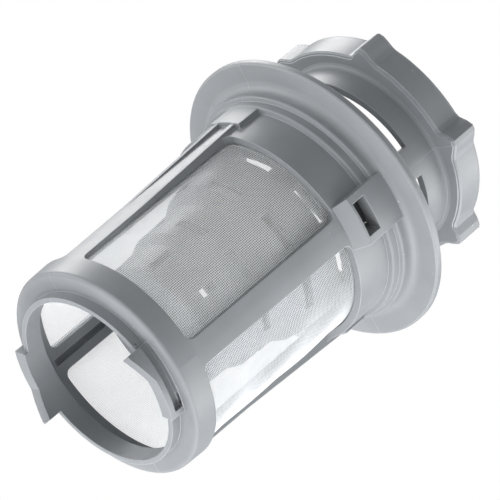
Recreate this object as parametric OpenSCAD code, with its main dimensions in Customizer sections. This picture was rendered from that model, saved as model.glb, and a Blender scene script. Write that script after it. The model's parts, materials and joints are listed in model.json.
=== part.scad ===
// Dishwasher filter: a micro filter frame with four fine mesh panels and a coarse filter
// that drops in from the top and lifts straight out by its lobed hand ring.
// Millimetres, +Z up along the filter's axis, with the tips of the two bayonet lugs at z = 0.

/* [Micro filter frame] */
// Outer diameter of the frame just above the mesh windows
body_d = 66.1; // [60:0.1:74]
// How much narrower the frame is at the lower edge of the mesh windows
body_draft = 2.1; // [0.6:0.1:3]
// Wall of the frame at the lower edge of the mesh windows
frame_wall = 2.4; // [2:0.1:3]
// Height of the flange underside above the lug tips
flange_z = 92.5; // [84:0.5:110]
// Thickness of the flange at its rim
flange_t = 2.4; // [1.8:0.1:3.2]
// How far the flange reaches out past the collar below it
flange_reach = 9.35; // [7.5:0.05:12]
// How far the collar stands out from the wall
collar_out = 1.6; // [1.3:0.1:2]
// Height of the collar below the flange
collar_h = 7.1; // [6:0.1:8.4]
// Distance from the flange underside down to the mesh windows
window_drop = 18.9; // [17.5:0.1:22]
// Corner radius of the mesh windows
window_corner = 2.2; // [1.6:0.1:3]
// Half width of the ribs between the windows, in degrees
rib_half = 6.8; // [6:0.1:8]

/* [Bottom ring and lugs] */
// Height of the flat underside of the bottom ring above the lug tips
ring_face_z = 7.6; // [6.8:0.1:9]
// Height of the bottom ring, from its underside to the mesh windows
ring_band = 7.5; // [6.5:0.1:9]
// How far the spigot collar stands in from the frame's bore
spigot_inset = 3.3; // [2.8:0.1:4]
// Wall of the spigot collar
spigot_wall = 1.4; // [1.1:0.1:1.8]
// Length of the spigot collar below the bottom ring
spigot_h = 3.2; // [2.6:0.1:3.6]
// Half length of each bayonet lug, in degrees
lug_half = 22.5; // [18:0.5:26]
// How far the lips of the bayonet lugs stand out from the spigot collar
lip_out = 2.1; // [1.7:0.1:2.6]
// Thickness of the lips of the bayonet lugs
lip_t = 1.8; // [1.5:0.1:2.2]
// How far the level part of the lugs' ends lies above their tips
lug_rise = 2.8; // [1.8:0.1:3]

/* [Snap windows] */
// Half width of the snap windows in the collar, in degrees
snap_half = 8; // [6.6:0.1:9.4]
// Distance from the flange underside down to the lower edge of the snap windows
snap_drop = 14.3; // [12.5:0.1:15.4]
// Height of the snap windows
snap_h = 4.6; // [3.9:0.1:5.4]
// How far the bosses that carry the snap windows stand out past the collar
boss_out = 1.75; // [1.45:0.05:2.4]

/* [Mesh panels] */
// Thickness of the mesh panels
mesh_t = 0.6; // [0.4:0.05:0.8]
// Distance from the frame's bore to the middle of the mesh panels
mesh_inset = 0.9; // [0.8:0.05:1.1]
// Width of the gaps in the mesh panels
gap_w = 1.5; // [0.8:0.1:2]
// Height of the gaps in the mesh panels
gap_h = 3; // [1:0.1:3.6]

/* [Coarse filter] */
// How far the neck stands in from the skirt
neck_inset = 1.3; // [1:0.1:1.8]
// Wall of the neck
neck_wall = 2.2; // [1.8:0.1:2.8]
// Height of the neck, from the flange's top face to the hand ring
neck_h = 22.6; // [19:0.1:28]
// Height of the neck slots' lower edge above the flange's top face
neck_foot = 1; // [0.9:0.1:2]
// Height of the neck slots
neck_slot_h = 13.5; // [10:0.1:16]
// Half width of the pillars between the neck slots, in degrees
pillar_half = 9.4; // [8:0.1:14]
// Outer diameter of the basket at its closed lower end
basket_low_d = 38.6; // [33:0.1:44]
// Distance from the flange underside down to the underside of the basket
basket_drop = 64; // [54:0.5:74]
// Wall of the basket
basket_wall = 1.6; // [1.4:0.1:1.9]
// How far the basket's upper end stands in from the skirt
basket_inset = 3.1; // [2.7:0.1:3.6]
// Width of the long basket slots, in degrees
slot_sweep = 27; // [20:1:32]
// Height of the long basket slots
slot_h = 2.9; // [2.4:0.1:3.4]
// How far the shoulder laps over the flange from the frame's bore
shoulder_lap = 3.8; // [3:0.1:4.6]
// Thickness of the shoulder
shoulder_t = 0.8; // [0.7:0.1:1]

/* [Hand ring] */
// Height of the hand ring's lobed wall
ring_h = 9.2; // [8:0.1:12]
// How far the tips of the lobes stand out from the neck
lobe_out = 8.3; // [6.8:0.1:9.8]
// How far the valleys between the lobes stand out from the neck
valley_out = 4.2; // [3.4:0.1:5]
// Wall of the hand ring
ring_wall = 2.2; // [1.8:0.1:2.6]

/* [Fits] */
// Radial play of the coarse filter's skirt in the frame's bore
skirt_play = 0.3; // [0.25:0.05:0.5]
// Play of the mesh panels in the frame's groove
groove_play = 0.05; // [0.02:0.01:0.1]
// Height of the gap between the coarse filter's shoulder and the flange
seat_gap = 0.05; // [0.02:0.01:0.1]

/* [Hidden] */
frame_color = [0.50, 0.52, 0.54];
mesh_color = [0.90, 0.91, 0.92];
lobes = 6;
rib_at = [-85, 0, 89.3, 181, 275];
lug_at = 2.5;
top_r = body_d / 2;
low_r = top_r - body_draft / 2;
bore_r = low_r - frame_wall;
step_r = top_r + collar_out;
boss_r = step_r + boss_out;
flange_r = step_r + flange_reach;
flange_top = flange_z + flange_t;
step_z = flange_z - collar_h;
window_low = ring_face_z + ring_band;
window_high = flange_z - window_drop;
spigot_r = bore_r - spigot_inset;
outlet_r = spigot_r - spigot_wall;
spigot_z = ring_face_z - spigot_h;
lip_r = spigot_r + lip_out;
lip_top = lug_rise + lip_t;
root_r = spigot_r + 0.5;
stop_sweep = 3.6;
snap_low = flange_z - snap_drop;
mesh_r = bore_r + mesh_inset;
groove_low = mesh_r - mesh_t / 2 - groove_play;
groove_t = mesh_t + 2 * groove_play;
tuck = 2;
tuck_deg = 3.6;
channel_half = rib_half - tuck_deg - 1.2;
skirt_r = bore_r - skirt_play;
skirt_in = skirt_r - 1.8;
skirt_low = flange_z - 7.5;
nose_r = bore_r + 2.3;
lead_r = nose_r + 0.3;
shoulder_z = flange_top + seat_gap;
neck_r = skirt_r - neck_inset;
neck_in = neck_r - neck_wall;
neck_slot_low = flange_top + neck_foot;
ring_low = flange_top + neck_h;
ring_top = ring_low + ring_h;
tip_r = neck_r + lobe_out;
valley_r = neck_r + valley_out;
basket_r = basket_low_d / 2;
basket_z = flange_z - basket_drop;
basket_top_r = skirt_r - basket_inset;
basket_top_z = skirt_low - 2.4;

// A ring sector between two radii and two heights, from angle a0 to angle a1.
module sector(r0, r1, z0, z1, a0, a1) {
    rotate([0, 0, a0])
        rotate_extrude(angle = a1 - a0, $fn = 128)
            translate([r0, z0])
                square([r1 - r0, z1 - z0]);
}

// A window cut with rounded corners, from angle a0 to angle a1, as a stack of levels.
module window_cut(a0, a1, z0, z1, c) {
    r0 = bore_r - 3;
    r1 = flange_r + 4;
    ca = asin(c / low_r);
    low = [for (t = [0:18:90]) [ca * (1 - sin(t)), z0 + c * (1 - cos(t))]];
    high = [for (t = [90:-18:0]) [ca * (1 - sin(t)), z1 - c * (1 - cos(t))]];
    levels = concat(low, high);
    n = len(levels);
    points = [for (v = levels, p = [[r0, a0 + v.x], [r1, a0 + v.x], [r1, a1 - v.x], [r0, a1 - v.x]])
        [p.x * cos(p.y), p.x * sin(p.y), v.y]];
    sides = [for (k = [0:n - 2], j = [0:3])
        let (i = 4 * k + j, m = 4 * k + (j + 1) % 4) [i, i + 4, m + 4, m]];
    polyhedron(points = points, faces = concat([[0, 1, 2, 3]], sides,
        [[4 * n - 1, 4 * n - 2, 4 * n - 3, 4 * n - 4]]));
}

// The turned body of the frame: lug band, bottom ring, drafted wall, collar and flange.
module frame_body() {
    rotate_extrude($fn = 192)
        polygon(concat(
            [[outlet_r, 0], [lip_r, 0], [lip_r, ring_face_z]],
            [for (a = [-90:15:0]) [low_r - 1.4 + 1.2 * cos(a), ring_face_z + 1.2 + 1.2 * sin(a)]],
            [[low_r, window_low], [top_r, window_high], [top_r, step_z - 0.2]],
            [for (a = [-90:22.5:0]) [step_r - 0.6 + 0.6 * cos(a), step_z + 0.6 + 0.6 * sin(a)]],
            [[step_r, flange_z - 4.4]],
            [for (a = [-90:22.5:0]) [step_r + 0.7 + 0.6 * cos(a), flange_z - 3.6 + 0.6 * sin(a)]],
            [for (a = [180:-15:90]) [step_r + 3.8 + 2.5 * cos(a), flange_z - 2.5 + 2.5 * sin(a)]],
            [[flange_r - 0.5, flange_z], [flange_r, flange_z + 0.5], [flange_r, flange_top - 0.5],
             [flange_r - 0.5, flange_top], [bore_r + 0.6, flange_top], [bore_r, flange_top - 0.6],
             [bore_r, ring_face_z + 2.4], [outlet_r, ring_face_z + 2.4]]));
}

// The boss of a snap window, with the slope that leads up to it.
module snap_boss(half) {
    rotate([0, 0, -half])
        rotate_extrude(angle = 2 * half, $fn = 128)
            polygon([[top_r - 1, snap_low - 4.2], [top_r - 0.2, snap_low - 4.2],
                     [boss_r, snap_low - 0.8], [boss_r, flange_z - 1], [top_r - 1, flange_z - 1]]);
}

// The two guide rails of a side rib: they run from the collar step and fade out downwards.
module guide_rails() {
    for (a = [-rib_half, rib_half - 2.4])
        rotate([0, 0, a])
            rotate_extrude(angle = 2.4, $fn = 128)
                polygon([[low_r - 1, window_low + 6], [low_r - 0.4, window_low + 6],
                         [step_r - 0.5, snap_low - 2], [step_r - 0.5, step_z + 1],
                         [low_r - 1, step_z + 1]]);
    sector(top_r - 1, step_r - 0.15, snap_low - 0.6, step_z + 1, -rib_half - 3, rib_half + 3);
}

// What is cleared beside one lug: the free arc next to it, the slot above the next lug's lip up
// to its stop wall, a pocket in the slot's end, and the sloping underside that leaves the tip.
module lug_clearance() {
    tip_y = -(outlet_r + 1.5) * sin(lug_half);
    level_y = -1.4;
    run = (level_y - tip_y) / lug_rise;
    rotate([0, 0, lug_half])
        rotate_extrude(angle = 180 - 2 * lug_half, $fn = 128)
            polygon([[outlet_r - 1, -1], [lip_r + 2, -1], [lip_r + 2, ring_face_z],
                     [spigot_r, ring_face_z], [spigot_r, spigot_z], [outlet_r - 1, spigot_z]]);
    sector(root_r, lip_r + 1, lip_top, ring_face_z - 0.2,
           180 - lug_half - 1, 180 + lug_half - stop_sweep);
    sector(root_r + 0.3, lip_r - 0.2, ring_face_z - 1, ring_face_z + 1.6,
           180 + lug_half - stop_sweep - 8.4, 180 + lug_half - stop_sweep - 0.4);
    translate([outlet_r * 0.7, 0, 0])
        rotate([90, 0, 90])
            linear_extrude(height = outlet_r)
                polygon([[tip_y - run, -1], [level_y, lug_rise], [lip_r, lug_rise], [lip_r, -1]]);
}

module micro_filter_frame() {
    color(frame_color)
        difference() {
            union() {
                frame_body();
                snap_boss(snap_half + 3.4);
                rotate([0, 0, 180])
                    snap_boss(snap_half + 3.4);
                rotate([0, 0, rib_at[0]])
                    guide_rails();
                rotate([0, 0, rib_at[2]])
                    guide_rails();
            }
            for (a = [lug_at, lug_at + 180])
                rotate([0, 0, a])
                    lug_clearance();
            for (i = [0:3])
                window_cut(rib_at[i] + rib_half, rib_at[i + 1] - rib_half,
                           window_low, window_high, window_corner);
            for (i = [0:3])
                sector(groove_low, groove_low + groove_t, window_low - tuck, window_high + tuck,
                       rib_at[i] + rib_half - tuck_deg, rib_at[i + 1] - rib_half + tuck_deg);
            for (i = [0:3])
                sector(bore_r - 1, bore_r + 1.4, window_low - 1, window_high + 2,
                       rib_at[i] - channel_half, rib_at[i] + channel_half);
            for (a = [0, 180])
                rotate([0, 0, a - snap_half])
                    rotate_extrude(angle = 2 * snap_half, $fn = 128)
                        polygon([[bore_r - 1, snap_low], [boss_r + 1, snap_low],
                                 [boss_r + 1, snap_low + snap_h], [lead_r, snap_low + snap_h],
                                 [lead_r, flange_top + 1], [bore_r - 1, flange_top + 1]]);
            rotate([0, 0, -22])
                translate([outlet_r - 1, 0, spigot_z + 0.9])
                    rotate([0, 90, 0])
                        cylinder(h = 4, r = 0.5, $fn = 24);
        }
}

// One mesh panel: a thin curved wall with rows of gaps, its edges tucked into the frame.
module mesh_panel(a0, a1) {
    cols = 12;
    rows = 10;
    e = tuck_deg - 0.2;
    w = (a1 - a0) / cols;
    h = (window_high - window_low) / rows;
    color(mesh_color)
        difference() {
            sector(mesh_r - mesh_t / 2, mesh_r + mesh_t / 2, window_low - tuck + 0.1,
                   window_high + tuck - 0.1, a0 - e, a1 + e);
            for (i = [0:cols - 1], k = [0:rows - 1])
                rotate([0, 0, a0 + (i + 0.5) * w])
                    translate([mesh_r - 1, -gap_w / 2, window_low + (k + 0.5) * h - gap_h / 2])
                        cube([2, gap_w, gap_h]);
        }
}

module mesh_panel_1() {
    mesh_panel(rib_at[0] + rib_half, rib_at[1] - rib_half);
}

module mesh_panel_2() {
    mesh_panel(rib_at[1] + rib_half, rib_at[2] - rib_half);
}

module mesh_panel_3() {
    mesh_panel(rib_at[2] + rib_half, rib_at[3] - rib_half);
}

module mesh_panel_4() {
    mesh_panel(rib_at[3] + rib_half, rib_at[4] - rib_half);
}

// Radius of the hand ring's outline at angle a: a saw tooth with rounded tips and valleys.
function lobe_r(a) =
    let (t = (a + 720 - 0.5) % 60, waist = valley_r + 1.1)
    t < 10 ? waist + (tip_r - waist) * (1 + cos(18 * t)) / 2 :
    t < 53 ? waist - (waist - valley_r) * sin((t - 10) / 43 * 90) :
    valley_r + (tip_r - valley_r) * (1 - cos((t - 53) / 7 * 180)) / 2;

// The outline of the hand ring, moved inwards by d.
module lobe_outline(d) {
    polygon([for (a = [0:2.5:357.5]) [(lobe_r(a) - d) * cos(a), (lobe_r(a) - d) * sin(a)]]);
}

module hand_ring() {
    difference() {
        union() {
            translate([0, 0, ring_low])
                linear_extrude(height = 0.4)
                    lobe_outline(0.9);
            translate([0, 0, ring_low + 0.3])
                linear_extrude(height = 0.5)
                    lobe_outline(0.3);
            translate([0, 0, ring_low + 0.7])
                linear_extrude(height = ring_h - 1.3)
                    lobe_outline(0);
            translate([0, 0, ring_top - 0.7])
                linear_extrude(height = 0.7)
                    lobe_outline(0.4);
        }
        translate([0, 0, ring_low + 2.2])
            linear_extrude(height = ring_h)
                lobe_outline(ring_wall);
        translate([0, 0, ring_low - 1])
            cylinder(h = 5, r = neck_in, $fn = 128);
    }
}

// Radius and height of the basket at a share f of the way from its lower to its upper end.
function basket_at(f) = basket_r + f * (basket_top_r - basket_r);
function basket_up(f) = basket_z + f * (basket_top_z - basket_z);

// The turned body of the coarse filter: neck, shoulder, skirt and tapering closed basket.
module coarse_body() {
    wall = [[0.072, 0.213], [0.319, 0.268], [0.391, 0.508], [0.826, 0.601], [0.899, 0.675],
            [0.957, 0.841], [1, 1]];
    seat_r = bore_r + shoulder_lap;
    seat_top = shoulder_z + shoulder_t;
    rotate_extrude($fn = 160)
        polygon(concat(
            [[0, basket_z], [basket_r - 0.8, basket_z], [basket_r, basket_z + 0.8]],
            [for (p = wall) [basket_at(p.x), basket_up(p.y)]],
            [[skirt_r, skirt_low], [skirt_r, shoulder_z], [seat_r - 0.4, shoulder_z],
             [seat_r, shoulder_z + 0.3], [seat_r - 0.5, seat_top],
             [neck_r, seat_top], [neck_r, ring_low - 1.2], [neck_r + 0.35, ring_low - 0.35],
             [neck_r + 1.2, ring_low], [neck_r + 1.2, ring_low + 0.4], [neck_in, ring_low + 0.4],
             [neck_in, shoulder_z + 0.4], [skirt_in, shoulder_z - 1.6],
             [skirt_in, skirt_low + 0.8]],
            [for (k = [len(wall) - 1:-1:0])
                [basket_at(wall[k].x) - basket_wall,
                 basket_up(wall[k].y) + (k == len(wall) - 1 ? 0.8 : 0)]],
            [[basket_r - basket_wall, basket_z + basket_wall + 0.1],
             [0, basket_z + basket_wall + 0.1]]));
}

// A snap tongue: a strip that hangs from the skirt with a nose that looks out of the window.
module snap_tongue() {
    half = snap_half - 1;
    tongue_in = skirt_in + 0.2;
    tongue_out = skirt_r - 0.1;
    rotate([0, 0, -half])
        rotate_extrude(angle = 2 * half, $fn = 128)
            polygon([[tongue_in, snap_low + 0.4], [tongue_out, snap_low + 0.4],
                     [nose_r, snap_low + 1.2], [nose_r, snap_low + 2.4],
                     [tongue_out, snap_low + 3.2], [tongue_out, flange_z - 4.5],
                     [tongue_in, flange_z - 4.5]]);
}

// Direction of the slots in the basket's wall.
function slot_at(i) = 45 * i - 19.5;

module coarse_filter() {
    rows = [0.334, 0.59, 0.828];
    color(frame_color)
        union() {
            difference() {
                coarse_body();
                for (i = [0:3])
                    sector(neck_in - 2, neck_r + 2, neck_slot_low, neck_slot_low + neck_slot_h,
                           90 * i + pillar_half, 90 * i + 90 - pillar_half);
                for (f = rows, i = [0:7])
                    sector(basket_r * 0.7, basket_top_r + 2.2, basket_up(f), basket_up(f) + slot_h,
                           slot_at(i) - slot_sweep / 2, slot_at(i) + slot_sweep / 2);
                for (i = [0:7])
                    sector(basket_r * 0.7, basket_top_r + 1.8, basket_z + basket_wall + 0.8,
                           basket_up(0.203), slot_at(i) - 3.8, slot_at(i) + 3.8);
                for (a = [0, 180], s = [-1, 1])
                    sector(skirt_in - 2, skirt_r + 1, skirt_low - 1, skirt_low + 5,
                           a + s * (snap_half + 0.6) - 0.6, a + s * (snap_half + 0.6) + 0.6);
            }
            snap_tongue();
            rotate([0, 0, 180])
                snap_tongue();
            hand_ring();
        }
}

micro_filter_frame();
mesh_panel_1();
mesh_panel_2();
mesh_panel_3();
mesh_panel_4();
coarse_filter();
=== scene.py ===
import json
import math
import bpy
import numpy as np
from mathutils import Matrix, Vector

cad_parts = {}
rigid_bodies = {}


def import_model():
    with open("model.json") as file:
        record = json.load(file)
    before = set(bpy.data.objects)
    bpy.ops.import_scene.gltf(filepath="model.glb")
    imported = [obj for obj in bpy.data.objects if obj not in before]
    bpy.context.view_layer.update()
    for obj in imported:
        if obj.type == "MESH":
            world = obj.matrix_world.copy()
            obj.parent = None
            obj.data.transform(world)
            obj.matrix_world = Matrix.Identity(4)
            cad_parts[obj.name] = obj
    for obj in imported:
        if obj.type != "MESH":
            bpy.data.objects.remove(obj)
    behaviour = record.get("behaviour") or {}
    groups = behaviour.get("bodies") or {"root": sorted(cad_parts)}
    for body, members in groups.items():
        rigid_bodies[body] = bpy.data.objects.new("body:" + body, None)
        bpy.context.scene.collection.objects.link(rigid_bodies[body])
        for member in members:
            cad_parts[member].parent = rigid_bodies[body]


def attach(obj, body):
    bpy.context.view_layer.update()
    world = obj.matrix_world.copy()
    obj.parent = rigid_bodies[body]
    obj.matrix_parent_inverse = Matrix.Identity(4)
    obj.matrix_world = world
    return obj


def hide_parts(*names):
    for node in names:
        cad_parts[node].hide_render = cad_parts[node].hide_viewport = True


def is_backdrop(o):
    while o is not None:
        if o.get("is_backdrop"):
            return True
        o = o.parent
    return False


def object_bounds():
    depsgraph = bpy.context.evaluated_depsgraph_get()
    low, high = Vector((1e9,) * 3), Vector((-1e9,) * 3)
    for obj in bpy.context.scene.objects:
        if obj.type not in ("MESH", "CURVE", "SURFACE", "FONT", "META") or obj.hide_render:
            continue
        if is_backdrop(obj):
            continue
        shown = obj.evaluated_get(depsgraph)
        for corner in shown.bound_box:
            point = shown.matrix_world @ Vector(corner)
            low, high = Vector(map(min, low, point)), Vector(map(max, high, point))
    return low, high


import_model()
cad_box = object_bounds()

MM = 0.001


# Materials ------------------------------------------------------------------

def new_material(name):
    m = bpy.data.materials.new(name)
    m.use_nodes = True
    t = m.node_tree
    t.nodes.clear()
    out = t.nodes.new("ShaderNodeOutputMaterial")
    bsdf = t.nodes.new("ShaderNodeBsdfPrincipled")
    t.links.new(bsdf.outputs[0], out.inputs[0])
    return m, t, bsdf, out


def noise(t, scale, detail=4.0, rough=0.55):
    co = t.nodes.new("ShaderNodeTexCoord")
    n = t.nodes.new("ShaderNodeTexNoise")
    n.inputs["Scale"].default_value = scale
    n.inputs["Detail"].default_value = detail
    n.inputs["Roughness"].default_value = rough
    t.links.new(co.outputs["Object"], n.inputs["Vector"])
    return n.outputs["Fac"]


def ramp(t, fac, stops):
    r = t.nodes.new("ShaderNodeValToRGB")
    e = r.color_ramp.elements
    while len(e) < len(stops):
        e.new(0.5)
    for el, (p, c) in zip(e, stops):
        el.position = p
        el.color = (*c, 1.0)
    t.links.new(fac, r.inputs["Fac"])
    return r.outputs["Color"]


def math_node(t, op, a, b=None):
    n = t.nodes.new("ShaderNodeMath")
    n.operation = op
    for i, v in enumerate((a, b)):
        if v is None:
            continue
        if isinstance(v, (int, float)):
            n.inputs[i].default_value = v
        else:
            t.links.new(v, n.inputs[i])
    return n.outputs[0]


def dot(t, vec, xyz):
    n = t.nodes.new("ShaderNodeVectorMath")
    n.operation = "DOT_PRODUCT"
    t.links.new(vec, n.inputs[0])
    n.inputs[1].default_value = xyz
    return n.outputs["Value"]


def fade(t, value, near, far):
    """1 where value is under near, 0 where it is over far."""
    n = t.nodes.new("ShaderNodeMapRange")
    n.interpolation_type = "SMOOTHSTEP"
    n.inputs["From Min"].default_value = near
    n.inputs["From Max"].default_value = far
    n.inputs["To Min"].default_value = 1.0
    n.inputs["To Max"].default_value = 0.0
    t.links.new(value, n.inputs["Value"])
    return n.outputs[0]


def seam_mask(t, seams):
    """Parting lines of the mould: each seam is (angle, low z, high z, half width), in degrees and mm."""
    co = t.nodes.new("ShaderNodeTexCoord").outputs["Object"]
    total = None
    for angle, z0, z1, half in seams:
        a = math.radians(angle)
        off = math_node(t, "ABSOLUTE", dot(t, co, (math.sin(a), -math.cos(a), 0)))
        m = fade(t, off, half * 0.5 * MM, half * 1.6 * MM)
        ahead = math_node(t, "GREATER_THAN", dot(t, co, (math.cos(a), math.sin(a), 0)), 0.0)
        z = dot(t, co, (0, 0, 1))
        above = math_node(t, "GREATER_THAN", z, z0 * MM)
        below = math_node(t, "LESS_THAN", z, z1 * MM)
        m = math_node(t, "MULTIPLY", m, ahead)
        m = math_node(t, "MULTIPLY", m, math_node(t, "MULTIPLY", above, below))
        total = m if total is None else math_node(t, "MAXIMUM", total, m)
    return total


def spot_mask(t, spots):
    """Ejector marks: each spot is (angle, radius, z, half width), in degrees and mm."""
    co = t.nodes.new("ShaderNodeTexCoord").outputs["Object"]
    total = None
    for angle, r, z, half in spots:
        a = math.radians(angle)
        n = t.nodes.new("ShaderNodeVectorMath")
        n.operation = "DISTANCE"
        t.links.new(co, n.inputs[0])
        n.inputs[1].default_value = (r * math.cos(a) * MM, r * math.sin(a) * MM, z * MM)
        m = fade(t, n.outputs["Value"], half * 0.8 * MM, half * 1.2 * MM)
        total = m if total is None else math_node(t, "MAXIMUM", total, m)
    return total


def plastic(name, base, seams, spots, round_mm=0.35, rough=0.42):
    m, t, b, out = new_material(name)
    lo = tuple(c * 0.94 for c in base)
    hi = tuple(min(1, c * 1.07) for c in base)
    faint = math_node(t, "MULTIPLY", spot_mask(t, spots), 0.8)
    seam = math_node(t, "MAXIMUM", seam_mask(t, seams), faint)
    tone = ramp(t, noise(t, 55), [(0.3, lo), (0.7, hi)])
    # Fine dust: a few pale specks on the grey plastic.
    specks = ramp(t, noise(t, 900, 1), [(0.80, (0, 0, 0)), (0.82, (0.8, 0.8, 0.8))])
    for mask, colour in ((seam, tuple(c * 1.45 for c in base)), (specks, tuple(c * 2.2 for c in base))):
        mix = t.nodes.new("ShaderNodeMix")
        mix.data_type = "RGBA"
        t.links.new(mask, mix.inputs[0])
        t.links.new(tone, mix.inputs[6])
        mix.inputs[7].default_value = (*colour, 1)
        tone = mix.outputs[2]
    # Painted edge highlight: paler where the rounded normal leaves the face's own normal.
    bev = t.nodes.new("ShaderNodeBevel")
    bev.samples = 8
    bev.inputs["Radius"].default_value = round_mm * MM
    face = t.nodes.new("ShaderNodeNewGeometry")
    near = t.nodes.new("ShaderNodeVectorMath")
    near.operation = "DOT_PRODUCT"
    t.links.new(bev.outputs[0], near.inputs[0])
    t.links.new(face.outputs["Normal"], near.inputs[1])
    edge_highlight = math_node(t, "MULTIPLY", fade(t, near.outputs["Value"], 0.86, 0.995), 0.75)
    edge = t.nodes.new("ShaderNodeMix")
    edge.data_type = "RGBA"
    t.links.new(edge_highlight, edge.inputs[0])
    t.links.new(tone, edge.inputs[6])
    # The paler colour here is a painted highlight along the edges.
    edge.inputs[7].default_value = (*(c * 1.9 for c in base), 1)
    tone = edge.outputs[2]
    t.links.new(tone, b.inputs["Base Color"])
    rr = t.nodes.new("ShaderNodeMapRange")
    rr.inputs["To Min"].default_value = rough - 0.06
    rr.inputs["To Max"].default_value = rough + 0.08
    t.links.new(noise(t, 140, 3), rr.inputs["Value"])
    t.links.new(rr.outputs[0], b.inputs["Roughness"])
    grain = t.nodes.new("ShaderNodeBump")
    grain.inputs["Strength"].default_value = 0.06
    grain.inputs["Distance"].default_value = 0.0002
    t.links.new(noise(t, 2600, 2), grain.inputs["Height"])
    t.links.new(bev.outputs[0], grain.inputs["Normal"])
    ridge = t.nodes.new("ShaderNodeBump")
    ridge.inputs["Strength"].default_value = 0.8
    ridge.inputs["Distance"].default_value = 0.0001
    t.links.new(seam, ridge.inputs["Height"])
    t.links.new(grain.outputs[0], ridge.inputs["Normal"])
    t.links.new(ridge.outputs[0], b.inputs["Normal"])
    b.inputs["IOR"].default_value = 1.49
    b.inputs["Specular IOR Level"].default_value = 0.45
    return m


GREY = (0.205, 0.215, 0.225)
m_frame = plastic("frame_plastic", GREY,
                  [(-89, 3, 15, 0.09), (91, 3, 15, 0.09), (-89, 76, 95, 0.09), (91, 76, 95, 0.09)],
                  [(-39.5, 32.8, 10.4, 0.8), (140.5, 32.8, 10.4, 0.8)])
m_coarse = plastic("coarse_plastic", tuple(c * 1.02 for c in GREY),
                   [(2, 96, 119, 0.07), (182, 96, 119, 0.07)],
                   [(45, 29, 112, 0.7), (225, 29, 112, 0.7)], 0.4, 0.4)
for n in ("micro_filter_frame", "coarse_filter"):
    o = bpy.data.objects[n]
    o.data.materials.clear()
    o.data.materials.append(m_frame if n == "micro_filter_frame" else m_coarse)

m_mesh, t, b, out = new_material("mesh_thread")
t.links.new(ramp(t, noise(t, 300, 3), [(0.3, (0.86, 0.87, 0.88)), (0.7, (0.94, 0.945, 0.95))]),
            b.inputs["Base Color"])
b.inputs["Roughness"].default_value = 0.45
glow = t.nodes.new("ShaderNodeBsdfTranslucent")
glow.inputs[0].default_value = (0.95, 0.96, 0.97, 1)
part = t.nodes.new("ShaderNodeMixShader")
part.inputs[0].default_value = 0.5
t.links.new(b.outputs[0], part.inputs[1])
t.links.new(glow.outputs[0], part.inputs[2])
t.links.new(part.outputs[0], out.inputs[0])

# Fine mesh ------------------------------------------------------------------

RIBS = [-85.0, 0.0, 89.3, 181.0, 275.0]
HALF = 6.8
Z0, Z1 = 15.1, 73.6
TUCK, TUCK_DEG = 1.2, 2.4
MESH_R = 30.5
PITCH = 0.55
THREAD = 0.08


def sag(u, v, k):
    """How far the stretched mesh bulges from its cylinder, in mm: u, v run 0 to 1 over a panel."""
    hold = np.clip(np.sin(math.pi * np.clip(u, 0, 1)), 0, 1) ** 0.6
    hold = hold * np.clip(np.sin(math.pi * np.clip(v, 0, 1)), 0, 1) ** 0.5
    w = -0.35 + 0.30 * np.sin(2.3 * math.pi * v + 1.7 * k + 2.0 * u)
    w = w + 0.22 * np.sin(5.1 * math.pi * v + 3.1 * u * math.pi + 0.9 * k)
    w = w + 0.16 * np.sin(3.7 * math.pi * u + 1.3 * k - 2.2 * v)
    return w * hold


def tube(path, up, r, verts, faces):
    """A four-sided thread along path, a closed tube with end caps."""
    n = len(path)
    d = np.gradient(path, axis=0)
    d /= np.linalg.norm(d, axis=1)[:, None]
    s = np.cross(d, up)
    s /= np.linalg.norm(s, axis=1)[:, None]
    w = np.cross(s, d)
    b0 = tube.count
    ring = np.stack([path + r * s, path + r * w, path - r * s, path - r * w], axis=1)
    verts.append(ring.reshape(-1, 3))
    i = np.arange(n - 1)[:, None] * 4
    j = np.arange(4)[None, :]
    k = (j + 1) % 4
    q = np.stack([b0 + i + j, b0 + i + k, b0 + i + 4 + k, b0 + i + 4 + j], axis=-1).reshape(-1, 4)
    faces.append(q)
    faces.append(np.array([[b0 + 3, b0 + 2, b0 + 1, b0]]))
    e = b0 + (n - 1) * 4
    faces.append(np.array([[e, e + 1, e + 2, e + 3]]))
    tube.count += 4 * n


def mesh_panel(k):
    a0, a1 = RIBS[k] + HALF, RIBS[k + 1] - HALF
    A0, A1 = a0 - TUCK_DEG, a1 + TUCK_DEG
    z0, z1 = Z0 - TUCK, Z1 + TUCK
    arc = math.radians(A1 - A0) * MESH_R
    nv, nh = int(arc / PITCH), int((z1 - z0) / PITCH)
    verts, faces = [], []
    tube.count = 0

    def at(a, z, lift):
        u, v = (a - a0) / (a1 - a0), (z - Z0) / (Z1 - Z0)
        r = MESH_R + sag(u, v, k) + lift
        t = np.radians(a)
        return np.stack([r * np.cos(t), r * np.sin(t), z + 0 * a], axis=-1) * MM

    def up(a):
        t = np.radians(a)
        return np.stack([np.cos(t), np.sin(t), 0 * t], axis=-1)

    for i in range(nv + 1):
        z = np.linspace(z0, z1, 34)
        a = np.full_like(z, A0 + (A1 - A0) * i / nv)
        tube(at(a, z, 0.05), up(a), THREAD * MM, verts, faces)
    for i in range(nh + 1):
        a = np.linspace(A0, A1, 30)
        z = np.full_like(a, z0 + (z1 - z0) * i / nh)
        tube(at(a, z, -0.05), up(a), THREAD * MM, verts, faces)
    me = bpy.data.meshes.new("fine_mesh_%d" % (k + 1))
    me.from_pydata(np.concatenate(verts).tolist(), [], np.concatenate(faces).tolist())
    me.materials.append(m_mesh)
    o = bpy.data.objects.new("fine_mesh_%d" % (k + 1), me)
    bpy.context.scene.collection.objects.link(o)
    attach(o, "micro_filter")
    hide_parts("mesh_panel_%d" % (k + 1))
    return o


for k in range(4):
    mesh_panel(k)

# Floor, light and camera ----------------------------------------------------

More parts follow.
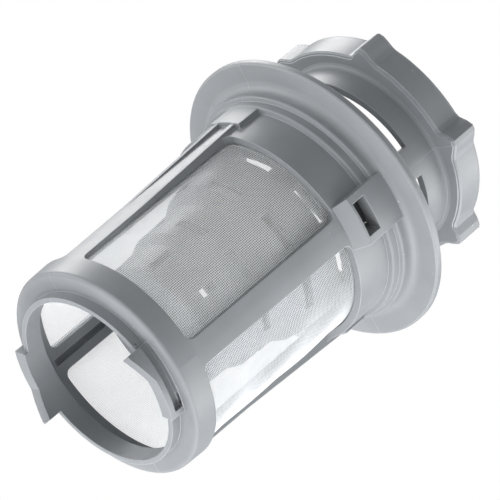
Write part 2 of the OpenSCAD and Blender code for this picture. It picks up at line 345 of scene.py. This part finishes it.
floor_mesh = bpy.data.meshes.new("floor")
s = 1.5
floor_mesh.from_pydata([(-s, -s, -0.0004), (s, -s, -0.0004), (s, s, -0.0004), (-s, s, -0.0004)], [],
                       [(0, 1, 2, 3)])
floor = bpy.data.objects.new("floor", floor_mesh)
bpy.context.scene.collection.objects.link(floor)
m_floor, t, b, out = new_material("floor_pale")
t.links.new(ramp(t, noise(t, 3, 2), [(0.3, (0.86, 0.86, 0.86)), (0.7, (0.90, 0.90, 0.90))]),
            b.inputs["Base Color"])
b.inputs["Roughness"].default_value = 0.8
clear = t.nodes.new("ShaderNodeBsdfTransparent")
mix = t.nodes.new("ShaderNodeMixShader")
path = t.nodes.new("ShaderNodeLightPath")
geo = t.nodes.new("ShaderNodeNewGeometry")
mx = t.nodes.new("ShaderNodeMath")
mx.operation = "MAXIMUM"
t.links.new(path.outputs["Is Shadow Ray"], mx.inputs[0])
t.links.new(geo.outputs["Backfacing"], mx.inputs[1])
t.links.new(mx.outputs[0], mix.inputs[0])
t.links.new(b.outputs[0], mix.inputs[1])
t.links.new(clear.outputs[0], mix.inputs[2])
t.links.new(mix.outputs[0], out.inputs[0])
floor_mesh.materials.append(m_floor)
floor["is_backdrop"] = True

world = bpy.data.worlds.new("studio")
bpy.context.scene.world = world
world.use_nodes = True
t = world.node_tree
t.nodes.clear()
out = t.nodes.new("ShaderNodeOutputWorld")
soft = t.nodes.new("ShaderNodeBackground")
soft.inputs[0].default_value = (0.95, 0.97, 1.0, 1)
soft.inputs[1].default_value = 0.30
white = t.nodes.new("ShaderNodeBackground")
white.inputs[0].default_value = (1, 1, 1, 1)
white.inputs[1].default_value = 1.0
path = t.nodes.new("ShaderNodeLightPath")
mix = t.nodes.new("ShaderNodeMixShader")
t.links.new(path.outputs["Is Camera Ray"], mix.inputs[0])
t.links.new(soft.outputs[0], mix.inputs[1])
t.links.new(white.outputs[0], mix.inputs[2])
t.links.new(mix.outputs[0], out.inputs[0])

# Camera in the part's own axes: right, up and back are its own three axes.
c, s_ = math.cos(math.radians(-20.5)), math.sin(math.radians(-20.5))
turn = Matrix(((c, -s_, 0), (s_, c, 0), (0, 0, 1)))
right = turn @ Vector((0.4116, 0.6457, 0.6430))
down = turn @ Vector((-0.3482, 0.7636, -0.5437))
look = turn @ Vector((-0.8422, 0.0, 0.5393))
place = turn @ Vector((840.8, -0.1, -563.6)) + Vector((0, 0, 92.5))
right.normalize()
look.normalize()
down = look.cross(right).normalized()
m = Matrix.Identity(4)
for i, v in enumerate((right, -down, -look)):
    for j in range(3):
        m[j][i] = v[j]
m.translation = place * MM
cam_data = bpy.data.cameras.new("camera")
cam = bpy.data.objects.new("camera", cam_data)
bpy.context.scene.collection.objects.link(cam)
cam.matrix_world = m
cam_data.sensor_fit = "HORIZONTAL"
cam_data.sensor_width = 36.0
cam_data.lens = 3693.46 / 500 * 36.0
cam_data.shift_x = -0.0016
cam_data.shift_y = 0.0016
cam_data.clip_start = 0.05
cam_data.clip_end = 20
bpy.context.scene.camera = cam


def area(name, at, to, size, watts):
    """A square lamp at a point, turned towards another."""
    d = bpy.data.lights.new(name, "AREA")
    d.shape = "RECTANGLE"
    d.size, d.size_y = size, size
    d.energy = watts
    o = bpy.data.objects.new(name, d)
    bpy.context.scene.collection.objects.link(o)
    o.location = at
    o.rotation_euler = (Vector(to) - Vector(at)).to_track_quat("-Z", "Y").to_euler()


# The studio lights follow the photograph: broad soft light from below, from the right and from
# behind the upper left edge, and little from above.
mid = Vector((0, 0, 0.06))


def seen_from(x, y, z):
    """A point x to the right, y up and z towards the camera, as the photograph's view sees it."""
    return mid + right * x - down * y - look * z


# Name, place as the photograph's view sees it, width in metres and watts.
LAMPS = [("right", (1.05, -0.28, -0.12), 0.8, 10.5),
         ("under", (-0.75, -0.7, 0.45), 0.8, 10.0),
         ("low", (0.2, -1.0, 0.25), 0.8, 15.5),
         ("rim", (-1.0, 0.35, 0.0), 0.6, 8.0),
         ("top", (-0.38, 0.95, -0.75), 0.6, 10.0),
         ("above", (0.7, 0.6, -0.6), 0.8, 4.0)]
for name, spot, width, watts in LAMPS:
    area(name, seen_from(*spot), mid, width, watts)

bpy.context.scene.view_settings.view_transform = "Standard"

new_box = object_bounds()


def plain(v):
    return [plain(x) for x in v] if hasattr(v, "__len__") else float(v)


{"cad": plain(cad_box), "visual": plain(new_box)}
